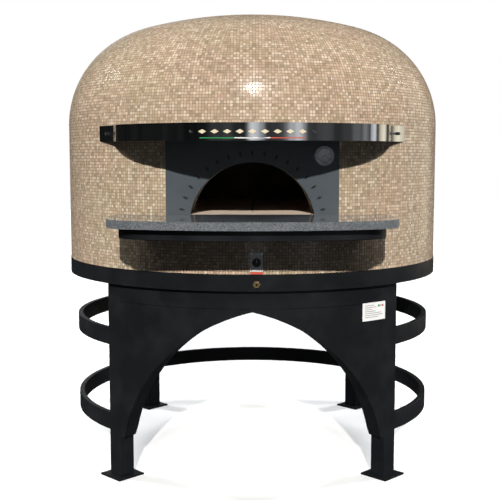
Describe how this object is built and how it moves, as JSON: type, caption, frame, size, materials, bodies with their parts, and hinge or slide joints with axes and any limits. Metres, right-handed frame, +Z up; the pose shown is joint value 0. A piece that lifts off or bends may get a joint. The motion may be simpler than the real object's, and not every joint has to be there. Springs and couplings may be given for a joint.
{
  "type": "wood fired pizza oven",
  "caption": "Round domed wood fired pizza oven with mosaic cladding, an arched mouth, a granite shelf, a steel hood and a black steel stand with curved rails.",
  "frame": {"origin": "on the floor, on the vertical axis of the dome, midway between the four legs", "axes": "+Z up along the dome's axis, -Y out of the mouth, +X to the right of someone facing the mouth"},
  "size_m": [1.6838, 2.0469, 1.995],
  "materials": {
    "black_paint": "satin black powder coat",
    "plate_white": "satin",
    "brass": "satin",
    "floor_concrete": "rough",
    "insulation": "rough",
    "hearth_clay": "matt",
    "refractory": "matt",
    "render_shell": "rough",
    "mosaic_glass": "glossy",
    "facade_steel": "satin",
    "duct_steel": "brushed",
    "polished_steel": "polished",
    "ornament_enamel": "satin",
    "granite": "polished",
    "gauge_steel": "satin",
    "dial_face": "matt",
    "needle_paint": "satin",
    "gauge_glass": "clear",
    "switch_plastic": "matt",
    "screw_steel": "satin",
    "marking_red": "satin"
  },
  "bodies": {
    "oven": {"base_ring": "black_paint", "base_plate": "black_paint", "cross_beam_long": "black_paint", "cross_beam_front": "black_paint", "cross_beam_rear": "black_paint", "leg_front_left": "black_paint", "leg_front_right": "black_paint", "leg_rear_left": "black_paint", "leg_rear_right": "black_paint", "foot_front_left": "black_paint", "foot_front_right": "black_paint", "foot_rear_left": "black_paint", "foot_rear_right": "black_paint", "rail_upper_left": "black_paint", "rail_upper_rear": "black_paint", "rail_upper_right": "black_paint", "rail_lower_left": "black_paint", "rail_lower_rear": "black_paint", "rail_lower_right": "black_paint", "apron_band": "black_paint", "apron_outer": "black_paint", "apron_inner": "black_paint", "apron_soffit_left": "black_paint", "apron_soffit_right": "black_paint", "data_plate": "plate_white", "brass_port": "brass", "floor_slab": "floor_concrete", "hearth_board": "insulation", "hearth_tile_front_left": "hearth_clay", "hearth_tile_front_right": "hearth_clay", "hearth_tile_rear_left": "hearth_clay", "hearth_tile_rear_right": "hearth_clay", "throat_floor": "hearth_clay", "refractory_dome": "refractory", "throat_arch": "refractory", "insulation_fill": "insulation", "outer_shell": "render_shell", "mosaic_skin": "mosaic_glass", "facade_plate": "facade_steel", "flue_riser": "duct_steel", "flue_run": "duct_steel", "flue_pipe": "duct_steel", "flue_flange": "duct_steel", "hood_band": "polished_steel", "hood_top": "polished_steel", "dome_nuts": "polished_steel", "hood_ornaments": "ornament_enamel", "granite_shelf": "granite", "shelf_frame": "black_paint", "thermometer_case": "gauge_steel", "thermometer_bezel": "gauge_steel", "thermometer_dial": "dial_face", "thermometer_glass": "gauge_glass", "thermometer_stem": "polished_steel", "control_plate": "plate_white", "control_housing": "switch_plastic", "plate_screws": "screw_steel", "marking_strip": "marking_red"},
    "needle": {"thermometer_needle": "needle_paint"},
    "knob": {"control_knob": "switch_plastic"}
  },
  "joints": [
    {"name": "needle_turn", "type": "hinge", "parent": "oven", "child": "needle", "pos_m": [0.278, -0.769, 1.342], "axis": [0, 1, 0], "range_deg": [0, 250], "stiffness_Nm_per_rad": 0.0002},
    {"name": "knob_turn", "type": "hinge", "parent": "oven", "child": "knob", "pos_m": [0.016, -0.85, 0.935], "axis": [0, 1, 0], "range_deg": [0, 90]}
  ]
}
